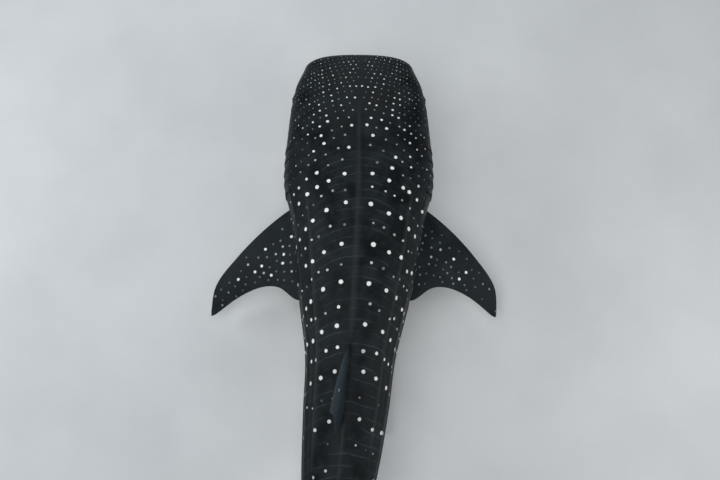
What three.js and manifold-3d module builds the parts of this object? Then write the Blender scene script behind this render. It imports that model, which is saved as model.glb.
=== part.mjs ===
// Whale shark, a life-size display model in a gentle swimming bend, on a plain two-rod stand.
// Millimetres, +Z up, head towards -Y, the animal's left towards +X. The origin is the middle of the
// stand's underside. The animal is laid out straight, in shares of its total length: "along" runs aft
// from the snout, "side" to its left and "up" from the body axis. place() then bends it and sets it
// on the stand.
import * as THREE from "three";
import { mergeVertices } from "three/addons/utils/BufferGeometryUtils.js";
import Module from "manifold-3d";

const wasm = await Module();
wasm.setup();

// Driving sizes
const totalLength = 6000;
const axisHeight = 0.132 * totalLength; // body axis above the floor, so that the tail clears it
const standAlong = 0.378; // the share of the length that stands over the origin
const gap = 0.3; // between nodes that touch
const deg = Math.PI / 180;

// The swimming bend: the spine moves to the animal's left behind the head.
const bendStart = 0.2;
const bendReach = 0.1166;
const bendPower = 1.73;

// Body stations: along, half width, height above and depth below the axis, squareness of back and belly
const stations = [
  [0.0, 0.071, 0.0215, 0.0235, 2.5, 2.5],
  [0.025, 0.0805, 0.0285, 0.031, 2.6, 2.5],
  [0.05, 0.0915, 0.0348, 0.0385, 2.7, 2.5],
  [0.085, 0.0985, 0.0432, 0.0478, 2.7, 2.45],
  [0.13, 0.103, 0.0535, 0.0575, 2.6, 2.4],
  [0.18, 0.1058, 0.0628, 0.065, 2.5, 2.35],
  [0.215, 0.1045, 0.0675, 0.068, 2.4, 2.3],
  [0.26, 0.0925, 0.0718, 0.0695, 2.35, 2.3],
  [0.32, 0.0835, 0.0742, 0.069, 2.3, 2.3],
  [0.38, 0.0728, 0.0738, 0.0665, 2.25, 2.3],
  [0.45, 0.0594, 0.0702, 0.0615, 2.2, 2.25],
  [0.52, 0.055, 0.0612, 0.0535, 2.15, 2.2],
  [0.6, 0.048, 0.0478, 0.0425, 2.1, 2.15],
  [0.68, 0.0365, 0.0345, 0.0318, 2.05, 2.1],
  [0.75, 0.0255, 0.0258, 0.0246, 2.0, 2.0],
  [0.8, 0.0185, 0.0226, 0.0228, 2.0, 2.0],
  [0.85, 0.0125, 0.0205, 0.0215, 2.0, 2.0],
];
const bodyEnd = 0.848;
const snoutCap = { length: 0.02, roundness: 2.9 };
const tailCap = { length: 0.03, roundness: 2.0 };

// Lengthwise ridges: angle from the top of the back, start and end, height and half width
const dorsalRidge = { angle: 0, from: 0.085, to: 0.45, fade: 0.05, height: 0.0026, spread: 0.0052 };
const rearDorsalRidge = { angle: 0, from: 0.54, to: 0.66, fade: 0.03, height: 0.0018, spread: 0.004 };
const upperRidge = { angle: 43 * deg, from: 0.2, to: 0.62, fade: 0.07, height: 0.0021, spread: 0.005 };
const middleRidge = { angle: 68 * deg, from: 0.19, to: 0.7, fade: 0.08, height: 0.0022, spread: 0.005 };
const lowerRidge = { angle: 92 * deg, from: 0.24, to: 0.76, fade: 0.09, height: 0.0024, spread: 0.005 };
const keel = { angle: 92 * deg, from: 0.68, to: 0.838, fade: 0.05, height: 0.0085, spread: 0.0042 };
const ridges = [dorsalRidge, rearDorsalRidge, upperRidge, middleRidge, lowerRidge, keel];

// The mouth runs round the front of the snout on the widest line of the section.
const mouth = { angle: 92 * deg, corner: 0.062, fade: 0.012, groove: 0.0042, lip: 0.0016, spread: 0.0034 };
const jawHinge = { along: 0.078, up: -0.075 }; // where the cut behind the lower jaw meets the throat

// Gill flaps: each swells backwards and drops at its slit.
const gills = {
  slits: [0.158, 0.175, 0.192, 0.208, 0.223],
  pitch: 0.016,
  top: 58 * deg,
  bottomFirst: 120 * deg,
  bottomLast: 101 * deg,
  fade: 9 * deg,
  lift: 0.0017,
  bow: { reach: 0.007, along: 0.19, span: 0.06, turn: 0.6 },
};

// Where the body is parted into nodes
const cuts = { head: 0.148, shoulder: 0.36, trunk: 0.6, tailStock: 0.742 };

const eye = { along: 0.0715, angle: 85 * deg, radius: 24, sunk: 9, lidRadius: 27, lidThick: 6 };
const spiracle = { along: 0.089, angle: 84 * deg, radius: 15, depth: 11 };
const nostril = { along: 0.0045, angle: 78 * deg, radius: 15, depth: 9 };

// Fins: edges from root to tip as [along, side, up]
const pectoral = {
  leading: [
    [0.206, 0.055, -0.028], [0.218, 0.084, -0.034], [0.25, 0.1305, -0.047],
    [0.292, 0.1745, -0.064], [0.332, 0.2055, -0.082], [0.3725, 0.211, -0.0935],
  ],
  trailing: [
    [0.356, 0.05, -0.034], [0.3625, 0.08, -0.041], [0.342, 0.11, -0.049],
    [0.339, 0.132, -0.057], [0.349, 0.165, -0.071], [0.376, 0.2085, -0.0945],
  ],
  thickness: [0.0125, 0.0018],
};
const pelvic = {
  leading: [
    [0.505, 0.02, -0.03], [0.515, 0.031, -0.05], [0.539, 0.043, -0.073],
    [0.564, 0.0425, -0.0885],
  ],
  trailing: [
    [0.548, 0.014, -0.034], [0.556, 0.021, -0.052], [0.557, 0.033, -0.07],
    [0.568, 0.042, -0.0895],
  ],
  thickness: [0.006, 0.0012],
};
const firstDorsal = {
  leading: [
    [0.436, 0, 0.045], [0.452, 0, 0.082], [0.492, 0, 0.12],
    [0.536, 0, 0.1475],
  ],
  trailing: [
    [0.518, 0, 0.04], [0.54, 0.002, 0.06], [0.559, 0.009, 0.0705],
    [0.545, 0.005, 0.083], [0.539, 0.001, 0.112], [0.5405, 0, 0.1478],
  ],
  thickness: [0.0135, 0.0016],
  lean: { share: 0.2, from: 0.065 }, // sideways for each unit of height over the back
};
const secondDorsal = {
  leading: [
    [0.643, 0, 0.022], [0.652, 0, 0.042], [0.676, 0, 0.062],
    [0.701, 0, 0.0745],
  ],
  trailing: [
    [0.684, 0, 0.018], [0.698, 0, 0.0345], [0.716, 0, 0.0425],
    [0.707, 0, 0.053], [0.7035, 0, 0.0748],
  ],
  thickness: [0.0065, 0.0012],
};
const anal = {
  leading: [
    [0.664, 0, -0.018], [0.673, 0, -0.037], [0.694, 0, -0.055],
    [0.717, 0, -0.0665],
  ],
  trailing: [
    [0.7, 0, -0.015], [0.713, 0, -0.0305], [0.728, 0, -0.038],
    [0.721, 0, -0.048], [0.7195, 0, -0.0668],
  ],
  thickness: [0.006, 0.0012],
};
const upperLobe = {
  leading: [
    [0.768, 0, 0.003], [0.8, 0, 0.022], [0.858, 0, 0.064],
    [0.928, 0, 0.127], [0.978, 0, 0.175], [0.9985, 0, 0.196],
  ],
  trailing: [
    [0.892, 0, 0.0005], [0.896, 0, 0.009], [0.908, 0, 0.033],
    [0.941, 0, 0.09], [0.979, 0, 0.152], [1.0, 0, 0.1955],
  ],
  thickness: [0.0185, 0.0018],
};
const lowerLobe = {
  leading: [
    [0.778, 0, -0.004], [0.8, 0, -0.022], [0.834, 0, -0.06],
    [0.867, 0, -0.1], [0.896, 0, -0.1245],
  ],
  trailing: [
    [0.892, 0, -0.0005], [0.8935, 0, -0.012], [0.8945, 0, -0.045],
    [0.9, 0, -0.085], [0.8985, 0, -0.1242],
  ],
  thickness: [0.0165, 0.0018],
};

const finFineness = 0.16; // most that half the thickness may be of the chord
const finTipHalf = 0.0002;
const finCrowding = 1.35; // how much closer the sections of a fin stand at its tip

const stand = {
  length: 1900,
  width: 480,
  thick: 60,
  corner: 60,
  rodRadius: 45,
  collarRadius: 75,
  collarTop: 67,
  collarHeight: 24,
  frontRod: 0.3,
  rearRod: 0.455,
};

const surface = (color, roughness, metalness) =>
  new THREE.MeshStandardMaterial({ color, roughness, metalness });
const skinMaterial = () => surface(0x1c1e22, 0.55, 0);
const eyeMaterial = () => surface(0x08090a, 0.12, 0);
const baseMaterial = () => surface(0x8d9094, 0.6, 0);
const rodMaterial = () => surface(0xa9adb1, 0.32, 1);

const root = new THREE.Group();
const clamp01 = (x) => Math.min(1, Math.max(0, x));
const ease = (x) => clamp01(x) ** 2 * (3 - 2 * clamp01(x));

function bend(along) {
  return bendReach * Math.max(0, along - bendStart) ** bendPower;
}

// A point given as shares of the length, in the part's own frame
function place(along, side, up) {
  return new THREE.Vector3(
    (side + bend(along)) * totalLength,
    (along - standAlong) * totalLength,
    up * totalLength + axisHeight,
  );
}

// The body's station values at a place along it, on a smooth curve through the rows
function station(along) {
  const last = stations.length - 1;
  const at = THREE.MathUtils.clamp(along, 0, stations[last][0]);
  let i = 0;
  while (i < last - 1 && stations[i + 1][0] < at) i++;
  const [a, b] = [stations[i], stations[i + 1]];
  const before = stations[Math.max(0, i - 1)];
  const after = stations[Math.min(last, i + 2)];
  const step = b[0] - a[0];
  const t = (at - a[0]) / step;
  return a.slice(1).map((value, k) => {
    const slopeA = ((b[k + 1] - before[k + 1]) / (b[0] - before[0])) * step;
    const slopeB = ((after[k + 1] - a[k + 1]) / (after[0] - a[0])) * step;
    return (
      value * (1 + 2 * t) * (1 - t) ** 2 +
      b[k + 1] * t * t * (3 - 2 * t) +
      slopeA * t * (1 - t) ** 2 -
      slopeB * t * t * (1 - t)
    );
  });
}

// How far a rounded end has opened at a distance from its tip
function capShare(distance, cap) {
  const t = clamp01(distance / cap.length);
  return (1 - (1 - t) ** cap.roundness) ** (1 / cap.roundness);
}

// The smooth section of the body, before ridges, mouth and gills
function plainBody(along, angle) {
  const [halfWidth, top, bottom, squareTop, squareBottom] = station(along);
  const open = Math.min(capShare(along, snoutCap), capShare(bodyEnd - along, tailCap));
  const across = Math.sin(angle);
  const upwards = Math.cos(angle);
  const square = upwards > 0 ? squareTop : squareBottom;
  const reach = upwards > 0 ? top : bottom;
  return [
    along,
    halfWidth * open * Math.sign(across) * Math.abs(across) ** (2 / square),
    reach * open * Math.sign(upwards) * Math.abs(upwards) ** (2 / square),
  ];
}

// The outward normal of the smooth body, from two short steps over it
function bodyNormal(along, angle) {
  const step = 1e-4;
  const from = new THREE.Vector3(...plainBody(along, angle));
  const aft = new THREE.Vector3(...plainBody(Math.min(along + step, bodyEnd - step), angle)).sub(from);
  const round = new THREE.Vector3(...plainBody(along, angle + step)).sub(from);
  return aft.cross(round).normalize();
}

const foldAngle = (angle) => Math.abs(Math.atan2(Math.sin(angle), Math.cos(angle)));
const bell = (distance, spread) => Math.exp(-((distance / spread) ** 2));

// The mean radius of a section, with a least value at the ends
function girthRadius(along) {
  const [halfWidth, top] = station(along);
  return Math.max(0.02, (halfWidth + top) / 2);
}

// Sideways distance over the skin from a lengthwise line at a given angle
function distanceFrom(lineAngle, along, angle) {
  return (foldAngle(angle) - lineAngle) * girthRadius(along);
}

function ridgeHeight(ridge, along, angle) {
  const present = ease((along - ridge.from) / ridge.fade) * ease((ridge.to - along) / ridge.fade);
  return ridge.height * present * bell(distanceFrom(ridge.angle, along, angle), ridge.spread);
}

// Negative in the groove between the jaws, positive on the lips
function mouthHeight(along, angle) {
  const present = ease((mouth.corner - along) / mouth.fade);
  const away = Math.abs(distanceFrom(mouth.angle, along, angle));
  const lips = mouth.lip * bell(away - 2 * mouth.spread, mouth.spread * 1.2);
  return present * (lips - mouth.groove * bell(away, mouth.spread));
}

function gillHeight(along, angle) {
  const round = foldAngle(angle);
  const [first, last] = [gills.slits[0], gills.slits.at(-1)];
  const aft = clamp01((along - first) / (last - first));
  const bottom = THREE.MathUtils.lerp(gills.bottomFirst, gills.bottomLast, aft);
  const within = ease((round - gills.top) / gills.fade) * ease((bottom - round) / gills.fade);
  const slit = gills.slits.find((place) => along <= place + 1e-9);
  const share = slit === undefined ? 0 : clamp01(1 - (slit - along) / gills.pitch);
  return gills.lift * within * share ** 1.6;
}

// Slits bow forwards at their middle, by moving whole rings of the body
function gillBow(along, angle) {
  const { reach, along: centre, span, turn } = gills.bow;
  const near = ease(1 - Math.abs(along - centre) / span);
  const middle = (gills.top + gills.bottomLast) / 2;
  return reach * near * clamp01(Math.abs(foldAngle(angle) - middle) / turn) ** 2;
}

// A point of the finished skin, grown outwards by some millimetres
function bodyPoint(along, angle, grow = 0) {
  const height =
    ridges.reduce((sum, ridge) => sum + ridgeHeight(ridge, along, angle), 0) +
    mouthHeight(along, angle) +
    gillHeight(along, angle) +
    grow / totalLength;
  const normal = bodyNormal(along, angle);
  const [a, side, up] = plainBody(along, angle);
  return place(
    a + gillBow(along, angle) + normal.x * height,
    side + normal.y * height,
    up + normal.z * height,
  );
}

// Angles round one ring: even steps, with five close ones over every lengthwise line
function ringAngles(along) {
  const near = Math.min(0.075, (dorsalRidge.spread * 1.05) / girthRadius(along));
  const lines = [upperRidge.angle, middleRidge.angle, lowerRidge.angle];
  const right = [0, near, 2 * near];
  let from = 2 * near;
  for (const line of lines) {
    const steps = line === upperRidge.angle ? 3 : 2;
    const to = line - 2 * near;
    for (let k = 1; k < steps; k++) right.push(from + ((to - from) * k) / steps);
    right.push(to, line - near, line, line + near, line + 2 * near);
    from = line + 2 * near;
  }
  const bellySteps = 5;
  for (let k = 1; k <= bellySteps; k++) right.push(from + ((Math.PI - from) * k) / bellySteps);
  const left = right.slice(1, -1).reverse().map((angle) => 2 * Math.PI - angle);
  return [...right, ...left];
}

// Places of the rings: close at the rounded ends, the mouth, the eyes and either side of each slit
function ringPlaces() {
  const places = [0.0004, 0.0018, 0.0045, 0.009, 0.015, 0.022];
  for (let a = 0.031; a < 0.105; a += 0.0105) places.push(a);
  places.push(0.114, 0.13, 0.142);
  for (const slit of gills.slits) places.push(slit - 0.006, slit, slit + 0.0004);
  places.push(0.236);
  for (let a = 0.256; a < 0.8; a += 0.026) places.push(a);
  for (const back of [0.03, 0.02, 0.012, 0.006, 0.002, 0.0005]) places.push(bodyEnd - back);
  return places;
}

// A closed solid through rings of points, with a point at each end
function loft(rings, first, last) {
  const count = rings[0].length;
  const points = [first, ...rings.flat(), last];
  const faces = [];
  for (let k = 0; k < count; k++) {
    const next = (k + 1) % count;
    faces.push(0, 1 + next, 1 + k);
    for (let r = 0; r + 1 < rings.length; r++) {
      const a = 1 + r * count;
      const b = a + count;
      faces.push(a + k, a + next, b + k, a + next, b + next, b + k);
    }
    const end = 1 + (rings.length - 1) * count;
    faces.push(end + k, end + next, points.length - 1);
  }
  return solidFrom(points, faces);
}

function solidFrom(points, faces) {
  const vertProperties = new Float32Array(points.flatMap((p) => [p.x, p.y, p.z]));
  const make = (list) =>
    new wasm.Manifold(new wasm.Mesh({ numProp: 3, vertProperties, triVerts: new Uint32Array(list) }));
  const made = make(faces);
  if (made.volume() > 0) return made;
  return make(faces.map((_, i) => faces[i - (i % 3) + (2 - (i % 3))]));
}

function solidOf(geometry, matrix = new THREE.Matrix4()) {
  const bare = geometry.clone().applyMatrix4(matrix);
  bare.deleteAttribute("normal");
  bare.deleteAttribute("uv");
  const merged = mergeVertices(bare, 1e-3);
  const index = [...merged.index.array];
  const faces = [];
  for (let i = 0; i < index.length; i += 3) {
    const [a, b, c] = index.slice(i, i + 3);
    if (a !== b && b !== c && c !== a) faces.push(a, b, c);
  }
  return new wasm.Manifold(
    new wasm.Mesh({
      numProp: 3,
      vertProperties: merged.attributes.position.array,
      triVerts: new Uint32Array(faces),
    }),
  );
}

// The largest piece of a solid
const largest = (solid) => solid.decompose().sort((a, b) => b.volume() - a.volume())[0];

function addNode(name, solid, material) {
  const mesh = largest(solid).getMesh();
  const geometry = new THREE.BufferGeometry();
  const positions = new Float32Array(mesh.numVert * 3);
  for (let i = 0; i < mesh.numVert; i++)
    positions.set(mesh.vertProperties.subarray(i * mesh.numProp, i * mesh.numProp + 3), i * 3);
  geometry.setAttribute("position", new THREE.BufferAttribute(positions, 3));
  geometry.setIndex(new THREE.BufferAttribute(mesh.triVerts, 1));
  geometry.computeVertexNormals();
  const node = new THREE.Mesh(geometry, material);
  node.name = name;
  root.add(node);
}

function makeBody(grow = 0) {
  const rings = ringPlaces().map((along) => ringAngles(along).map((angle) => bodyPoint(along, angle, grow)));
  const nose = place(-grow / totalLength, 0, 0);
  const tail = place(bodyEnd + grow / totalLength, 0, 0);
  return loft(rings, nose, tail);
}

// A slab across the whole animal between two places along it
function slab(from, to) {
  const depth = (to - from) * totalLength - gap;
  const block = new THREE.BoxGeometry(3 * totalLength, depth, 3 * totalLength);
  const middle = ((from + to) / 2 - standAlong) * totalLength;
  return solidOf(block, new THREE.Matrix4().makeTranslation(0, middle, 0));
}

// Half the thickness of a fin, from its leading edge (0) to its trailing edge (1)
function finProfile(share) {
  return 1.48 * Math.sqrt(share) * (1 - share) + 0.05 * (1 - share) + 0.04;
}

// A fin between two edge curves; lean moves it sideways with its height above the back
function fin({ leading, trailing, thickness, lean = { share: 0, from: 0 } }, mirror, steps, across) {
  const curve = (points) => {
    const placed = points.map(([a, s, u]) => new THREE.Vector3(a, s * mirror, u));
    return new THREE.CatmullRomCurve3(placed, false, "centripetal");
  };
  const [front, back] = [curve(leading), curve(trailing)];
  const rings = [];
  for (let i = 0; i <= steps; i++) {
    const span = 1 - (1 - i / steps) ** finCrowding;
    const [from, to] = [front.getPoint(span), back.getPoint(span)];
    const chord = to.clone().sub(from);
    const beforeTip = Math.min(span, 0.98);
    const outwards = front.getTangent(beforeTip).add(back.getTangent(beforeTip));
    const normal = chord.clone().cross(outwards).normalize();
    const half = THREE.MathUtils.lerp(thickness[0], thickness[1], span ** 0.8) / 2;
    const limit = Math.min(half, chord.length() * finFineness + finTipHalf);
    const ring = [];
    for (let k = 0; k < 2 * across; k++) {
      const onTop = k <= across;
      const turn = (Math.PI * (onTop ? k : 2 * across - k)) / across;
      const share = (1 - Math.cos(turn)) / 2;
      const lift = limit * finProfile(share) * (onTop ? 1 : -1) * (k === 0 || k === across ? 0 : 1);
      const point = from.clone().addScaledVector(chord, share).addScaledVector(normal, lift);
      const sideways = lean.share * Math.max(0, point.z - lean.from);
      ring.push(place(point.x, point.y + sideways, point.z));
    }
    rings.push(ring);
  }
  const sum = (ring) => ring.reduce((total, p) => total.add(p), new THREE.Vector3());
  const middle = (ring) => sum(ring).divideScalar(ring.length);
  return loft(rings, middle(rings[0]), middle(rings.at(-1)));
}

// A round solid set on the skin, its own +Y pointing out of it
function onSkin(geometry, along, angle, inwards = 0) {
  const normal = bodyNormal(along, angle);
  const out = new THREE.Vector3(normal.y, normal.x, normal.z).normalize();
  const turn = new THREE.Quaternion().setFromUnitVectors(new THREE.Vector3(0, 1, 0), out);
  const at = bodyPoint(along, angle).addScaledVector(out, -inwards);
  return solidOf(geometry, new THREE.Matrix4().compose(at, turn, new THREE.Vector3(1, 1, 1)));
}

// The block under the mouth line that parts the lower jaw from the head
function jawBlock(shrink) {
  const zMouth = mouthUp * totalLength + axisHeight - shrink;
  const y = (along) => (along - standAlong) * totalLength;
  const outline = new THREE.Shape();
  outline.moveTo(y(-0.05), zMouth);
  outline.lineTo(y(mouth.corner) - shrink, zMouth);
  outline.lineTo(y(jawHinge.along) - shrink, axisHeight + jawHinge.up * totalLength);
  outline.lineTo(y(-0.05), axisHeight + jawHinge.up * totalLength);
  outline.closePath();
  const width = 0.3 * totalLength;
  const block = new THREE.ExtrudeGeometry(outline, { depth: width, bevelEnabled: false });
  const turn = new THREE.Matrix4().makeBasis(
    new THREE.Vector3(0, 1, 0),
    new THREE.Vector3(0, 0, 1),
    new THREE.Vector3(1, 0, 0),
  );
  return solidOf(block, turn.setPosition(-width / 2, 0, 0));
}

const mouthUp = plainBody(0.03, mouth.angle)[2];

// Body in one piece, parted afterwards
const body = makeBody();
const bodyGrown = makeBody(gap);

// A shallow hollow for a spiracle or a nostril
function pit(hole, side) {
  const shape = new THREE.SphereGeometry(hole.radius, 12, 8).scale(1, hole.depth / hole.radius, 1);
  return onSkin(shape, hole.along, side * hole.angle);
}

// The ring of the eyelid, round in section
function lidGeometry() {
  const sides = 6;
  const profile = [];
  for (let k = 0; k <= sides; k++) {
    const turn = (2 * Math.PI * k) / sides;
    const across = eye.lidRadius + eye.lidThick * Math.cos(turn);
    profile.push(new THREE.Vector2(across, eye.lidThick * Math.sin(turn)));
  }
  return new THREE.LatheGeometry(profile, 16);
}

// Head, lower jaw and eyes
const headWhole = body.intersect(slab(-0.1, cuts.head));
let head = headWhole.subtract(jawBlock(0));
const jaw = headWhole.intersect(jawBlock(gap));
for (const side of [1, -1]) {
  const angle = side * eye.angle;
  const ball = onSkin(new THREE.SphereGeometry(eye.radius, 14, 10), eye.along, angle, eye.sunk);
  const socket = onSkin(new THREE.SphereGeometry(eye.radius + gap, 14, 10), eye.along, angle, eye.sunk);
  head = head.add(onSkin(lidGeometry(), eye.along, angle)).subtract(socket);
  head = head.subtract(pit(spiracle, side)).subtract(pit(nostril, side));
  addNode(side > 0 ? "eye_left" : "eye_right", ball, eyeMaterial());
}
addNode("head", head, skinMaterial());
addNode("lower_jaw", jaw, skinMaterial());

// Trunk and tail
addNode("gill_region", body.intersect(slab(cuts.head, cuts.shoulder)), skinMaterial());
addNode("trunk", body.intersect(slab(cuts.shoulder, cuts.trunk)), skinMaterial());
addNode("tail_stock", body.intersect(slab(cuts.trunk, cuts.tailStock)), skinMaterial());
addNode("caudal_peduncle", body.intersect(slab(cuts.tailStock, 1)), skinMaterial());

// Paired and single fins, cut to the skin that they grow from
for (const side of [1, -1]) {
  const name = side > 0 ? "left" : "right";
  addNode(`pectoral_fin_${name}`, fin(pectoral, side, 15, 8).subtract(bodyGrown), skinMaterial());
  addNode(`pelvic_fin_${name}`, fin(pelvic, side, 8, 5).subtract(bodyGrown), skinMaterial());
}
addNode("first_dorsal_fin", fin(firstDorsal, 1, 14, 7).subtract(bodyGrown), skinMaterial());
addNode("second_dorsal_fin", fin(secondDorsal, 1, 10, 5).subtract(bodyGrown), skinMaterial());
addNode("anal_fin", fin(anal, 1, 10, 5).subtract(bodyGrown), skinMaterial());
addNode("caudal_fin_upper", fin(upperLobe, 1, 14, 7).subtract(bodyGrown), skinMaterial());
addNode("caudal_fin_lower", fin(lowerLobe, 1, 12, 7).subtract(bodyGrown), skinMaterial());

// Stand: a plate with rounded corners, and two rods with collars
const plate = new THREE.Shape();
const [halfPlate, halfLong] = [stand.width / 2, stand.length / 2];
plate.moveTo(halfPlate - stand.corner, -halfLong);
plate.absarc(halfPlate - stand.corner, -halfLong + stand.corner, stand.corner, -Math.PI / 2, 0);
plate.absarc(halfPlate - stand.corner, halfLong - stand.corner, stand.corner, 0, Math.PI / 2);
plate.absarc(-halfPlate + stand.corner, halfLong - stand.corner, stand.corner, Math.PI / 2, Math.PI);
plate.absarc(-halfPlate + stand.corner, -halfLong + stand.corner, stand.corner, Math.PI, 1.5 * Math.PI);
const plateGeometry = new THREE.ExtrudeGeometry(plate, {
  depth: stand.thick,
  bevelEnabled: false,
  curveSegments: 6,
});
addNode("stand_base", solidOf(plateGeometry), baseMaterial());

function rod(along) {
  const foot = place(along, 0, 0).setZ(stand.thick + gap);
  const length = axisHeight - foot.z;
  const upright = new THREE.Matrix4().makeRotationX(Math.PI / 2);
  const at = (height) => new THREE.Matrix4().makeTranslation(foot.x, foot.y, foot.z + height / 2);
  const shaft = new THREE.CylinderGeometry(stand.rodRadius, stand.rodRadius, length, 28);
  const { collarRadius, collarTop, collarHeight } = stand;
  const collar = new THREE.CylinderGeometry(collarTop, collarRadius, collarHeight, 28);
  return solidOf(shaft, at(length).multiply(upright))
    .add(solidOf(collar, at(collarHeight).multiply(upright)))
    .subtract(bodyGrown);
}
addNode("stand_rod_front", rod(stand.frontRod), rodMaterial());
addNode("stand_rod_rear", rod(stand.rearRod), rodMaterial());

export default root;
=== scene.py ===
# Looks of the whale shark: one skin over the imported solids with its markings, eyes, stand, floor,
# lights and camera. Metres, +Z up, head towards -Y. Body shapes are in shares of the total length:
# along (aft from the snout), side (to the animal's left) and up (from the body axis).
import math
import random

import bpy
import numpy as np
from mathutils import Matrix, Vector
from mathutils.kdtree import KDTree


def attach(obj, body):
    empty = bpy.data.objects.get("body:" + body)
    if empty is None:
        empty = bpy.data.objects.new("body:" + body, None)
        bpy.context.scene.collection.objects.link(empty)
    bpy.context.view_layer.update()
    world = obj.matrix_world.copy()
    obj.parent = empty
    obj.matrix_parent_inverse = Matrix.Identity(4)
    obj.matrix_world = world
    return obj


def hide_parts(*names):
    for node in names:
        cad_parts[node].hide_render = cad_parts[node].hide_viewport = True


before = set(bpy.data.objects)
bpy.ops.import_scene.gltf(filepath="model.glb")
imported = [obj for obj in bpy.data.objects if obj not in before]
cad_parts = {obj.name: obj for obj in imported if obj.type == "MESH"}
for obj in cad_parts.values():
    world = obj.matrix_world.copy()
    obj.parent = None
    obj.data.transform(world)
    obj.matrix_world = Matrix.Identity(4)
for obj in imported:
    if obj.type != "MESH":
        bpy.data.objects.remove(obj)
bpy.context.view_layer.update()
seed = 41
random.seed(seed)

layout = {"length": 6.0, "axisHeight": 0.132 * 6.0, "standAlong": 0.378}
spine = {"start": 0.2, "reach": 0.1166, "power": 1.73}

# along, half width, height, depth, squareness of back and belly
body = {
    "stations": [
        (0.0, 0.071, 0.0215, 0.0235, 2.5, 2.5),
        (0.025, 0.0805, 0.0285, 0.031, 2.6, 2.5),
        (0.05, 0.0915, 0.0348, 0.0385, 2.7, 2.5),
        (0.085, 0.0985, 0.0432, 0.0478, 2.7, 2.45),
        (0.13, 0.103, 0.0535, 0.0575, 2.6, 2.4),
        (0.18, 0.1058, 0.0628, 0.065, 2.5, 2.35),
        (0.215, 0.1045, 0.0675, 0.068, 2.4, 2.3),
        (0.26, 0.0925, 0.0718, 0.0695, 2.35, 2.3),
        (0.32, 0.0835, 0.0742, 0.069, 2.3, 2.3),
        (0.38, 0.0728, 0.0738, 0.0665, 2.25, 2.3),
        (0.45, 0.0594, 0.0702, 0.0615, 2.2, 2.25),
        (0.52, 0.055, 0.0612, 0.0535, 2.15, 2.2),
        (0.6, 0.048, 0.0478, 0.0425, 2.1, 2.15),
        (0.68, 0.0365, 0.0345, 0.0318, 2.05, 2.1),
        (0.75, 0.0255, 0.0258, 0.0246, 2.0, 2.0),
        (0.8, 0.0185, 0.0226, 0.0228, 2.0, 2.0),
        (0.85, 0.0125, 0.0205, 0.0215, 2.0, 2.0),
    ],
    "end": 0.848,
    "snoutCap": (0.02, 2.9),
    "tailCap": (0.07, 1.5),
    "slimmest": 0.02,
}
bodyTable = np.array(body["stations"])

# angle in degrees from the top of the back, from, to, fade, height, spread
ridges = {
    "dorsal": (0, 0.085, 0.45, 0.05, 0.0024, 0.0042),
    "rearDorsal": (0, 0.54, 0.66, 0.03, 0.0016, 0.0036),
    "upper": (43, 0.2, 0.62, 0.07, 0.0019, 0.0034),
    "middle": (68, 0.19, 0.7, 0.08, 0.0021, 0.0034),
    "lower": (92, 0.24, 0.76, 0.09, 0.0022, 0.0034),
    "keel": (92, 0.68, 0.838, 0.05, 0.0083, 0.004),
}
mouth = {
    "up": -0.0023,
    "corner": 0.062,
    "fade": 0.01,
    "droop": 0.004,
    "groove": 0.0062,
    "slit": 0.0016,
    "lip": 0.0017,
    "lipAway": 0.0042,
    "upperSpread": 0.0032,
    "lowerSpread": 0.003,
    "lowerShare": 0.8,
}
gills = {
    "slits": (0.158, 0.175, 0.192, 0.208, 0.223),
    "pitch": 0.016,
    "top": 58,
    "bottomFirst": 120,
    "bottomLast": 101,
    "fade": 9,
    "lift": 0.0012,
    "curl": 1.6,
    "groove": 0.0017,
    "grooveSpread": 0.0016,
    "grooveLeast": 0.02,
    "bow": 0.007,
    "bowAlong": 0.19,
    "bowSpan": 0.06,
    "bowTurn": 0.6,
}
# radius and below in metres, angle in degrees from the top of the back
eye = {
    "along": 0.0715,
    "angle": 85,
    "radius": 0.024,
    "sunk": 0.0125,
    "rim": 0.0265,
    "rimLift": 0.0062,
    "rimSpread": 0.0075,
    "hollow": 0.006,
    "hollowSpread": 0.016,
}
spiracle = {
    "along": 0.089,
    "angle": 84,
    "radius": 0.014,
    "depth": 0.016,
    "rim": 0.003,
    "rimAt": 1.3,
    "rimSpread": 0.006,
}
nostril = {
    "along": 0.004,
    "angle": 82,
    "radius": 0.0095,
    "depth": 0.011,
    "rim": 0.004,
    "rimAt": 1.5,
    "rimSpread": 0.007,
}
holeWidth = 0.7  # spread of a hole as a share of its radius


def ease(x):
    x = np.clip(x, 0, 1)
    return x * x * (3 - 2 * x)


def bell(distance, spread):
    return np.exp(-((distance / spread) ** 2))


def unit(vectors):
    return vectors / np.maximum(np.linalg.norm(vectors, axis=1), 1e-20)[:, None]


def gapsOf(points):
    return np.linalg.norm(np.diff(points, axis=0), axis=1)


def runningSum(values):
    return np.concatenate([[0], np.cumsum(values)])


def bend(along):
    return spine["reach"] * np.maximum(0, along - spine["start"]) ** spine["power"]


# shares of the length to metres in the part's frame
def place(shares):
    out = np.empty_like(shares)
    out[:, 0] = (shares[:, 1] + bend(shares[:, 0])) * layout["length"]
    out[:, 1] = (shares[:, 0] - layout["standAlong"]) * layout["length"]
    out[:, 2] = shares[:, 2] * layout["length"] + layout["axisHeight"]
    return out


# metres back to shares of the length
def unplace(points):
    along = points[:, 1] / layout["length"] + layout["standAlong"]
    side = points[:, 0] / layout["length"] - bend(along)
    up = (points[:, 2] - layout["axisHeight"]) / layout["length"]
    return along, side, up


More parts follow.
